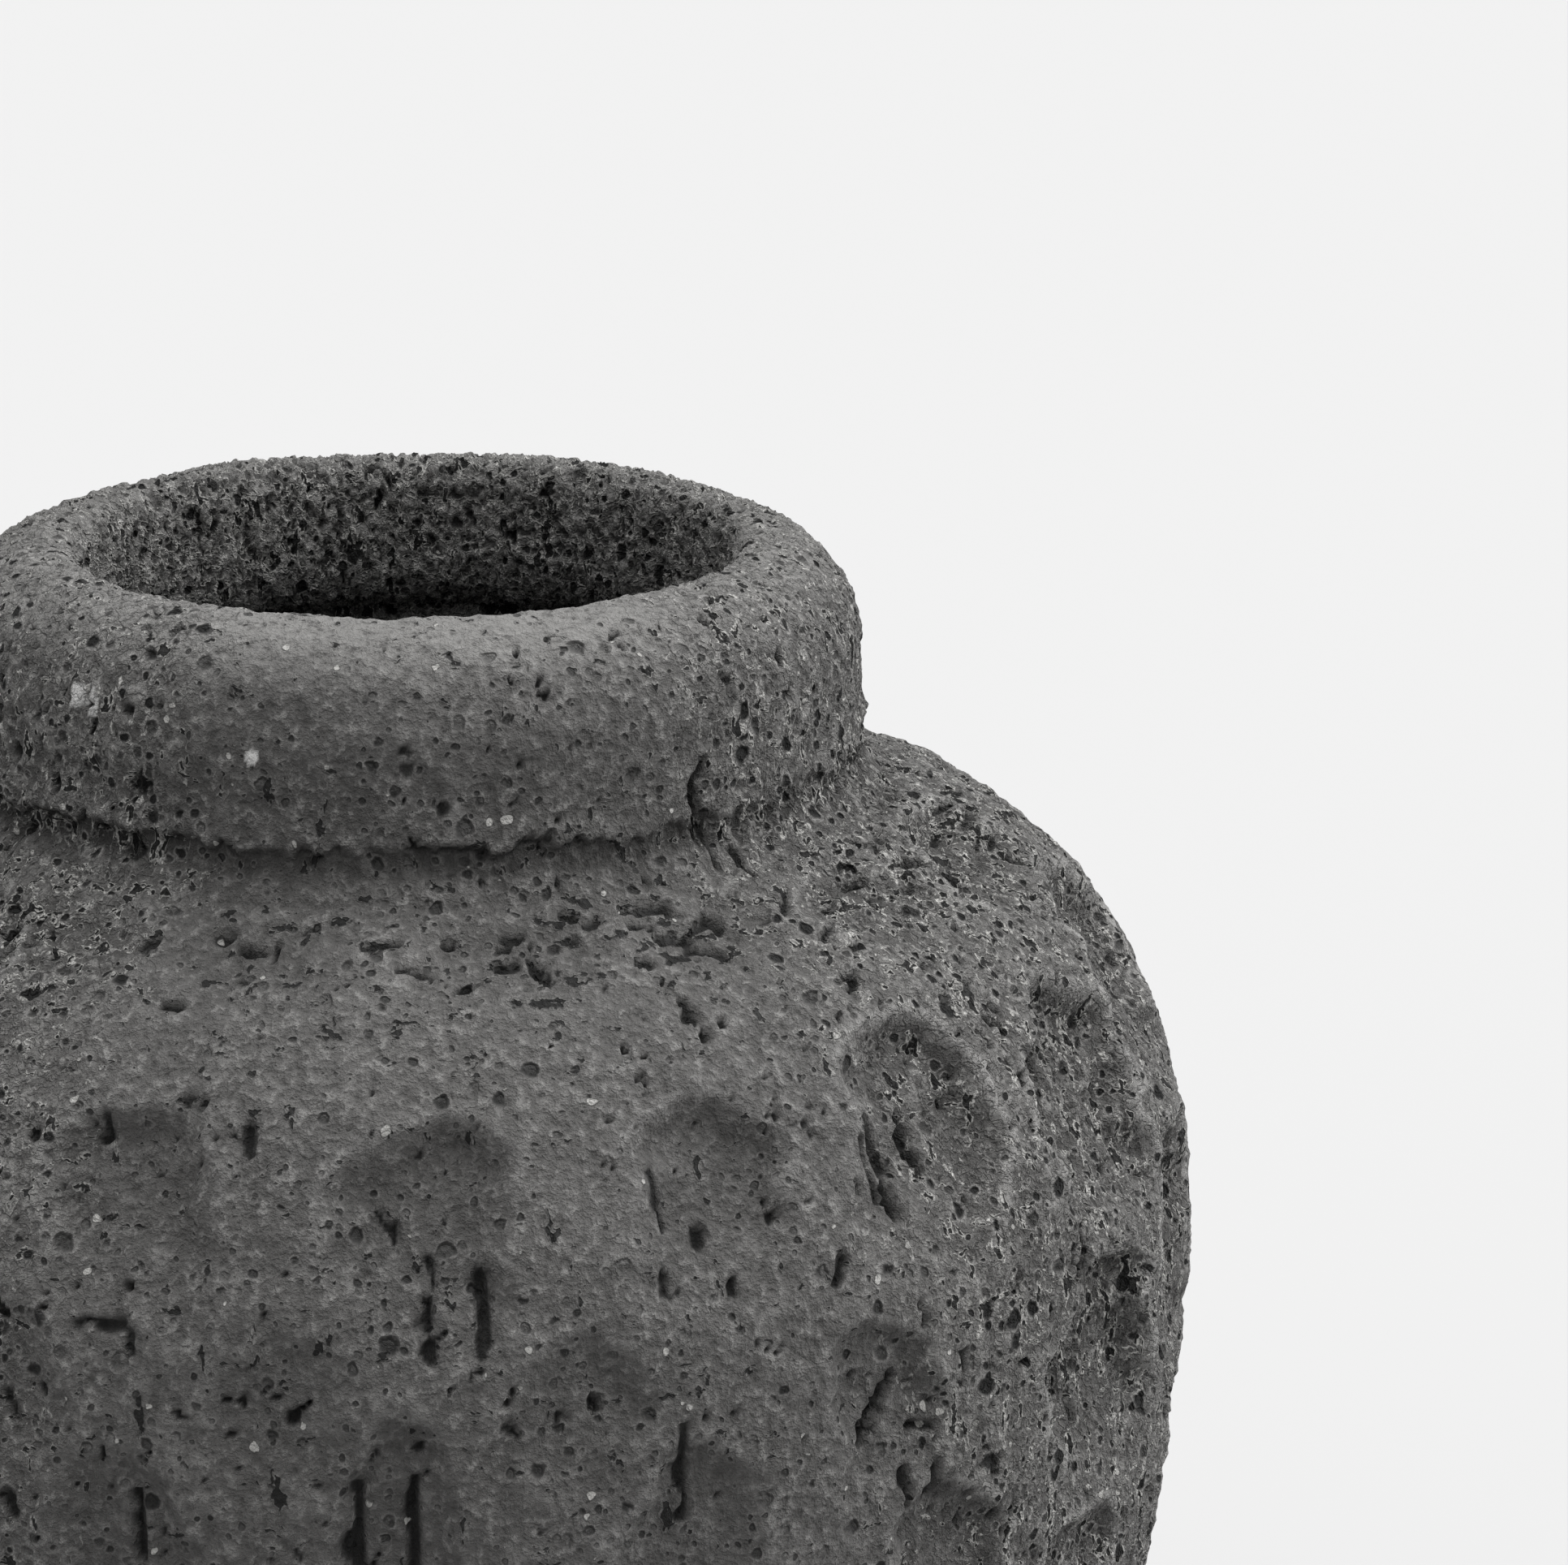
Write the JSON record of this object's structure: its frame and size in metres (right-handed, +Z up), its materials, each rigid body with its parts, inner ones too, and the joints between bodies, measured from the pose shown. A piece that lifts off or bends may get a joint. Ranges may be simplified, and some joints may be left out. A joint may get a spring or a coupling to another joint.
{
  "type": "stoneware vase",
  "caption": "Broad-shouldered jar with a short collar and rolled lip, its rough dark wall pressed with rows of finger hollows; stands on its foot to hold branches or to be shown empty.",
  "frame": {"origin": "on the surface it stands on, at the jar's axis", "axes": "+Z is up along the jar's axis, out of the mouth; the jar is round, so X and Y are any two level directions"},
  "size_m": [0.3468, 0.349, 0.4],
  "materials": {
    "stoneware": "matte unglazed, coarse"
  },
  "bodies": {
    "root": {"lip_coil": "stoneware", "collar_ring": "stoneware", "shoulder_course": "stoneware", "wall_course_5": "stoneware", "wall_course_4": "stoneware", "wall_course_3": "stoneware", "wall_course_2": "stoneware", "wall_course_1": "stoneware", "floor_coil": "stoneware", "base_slab": "stoneware"}
  },
  "joints": []
}
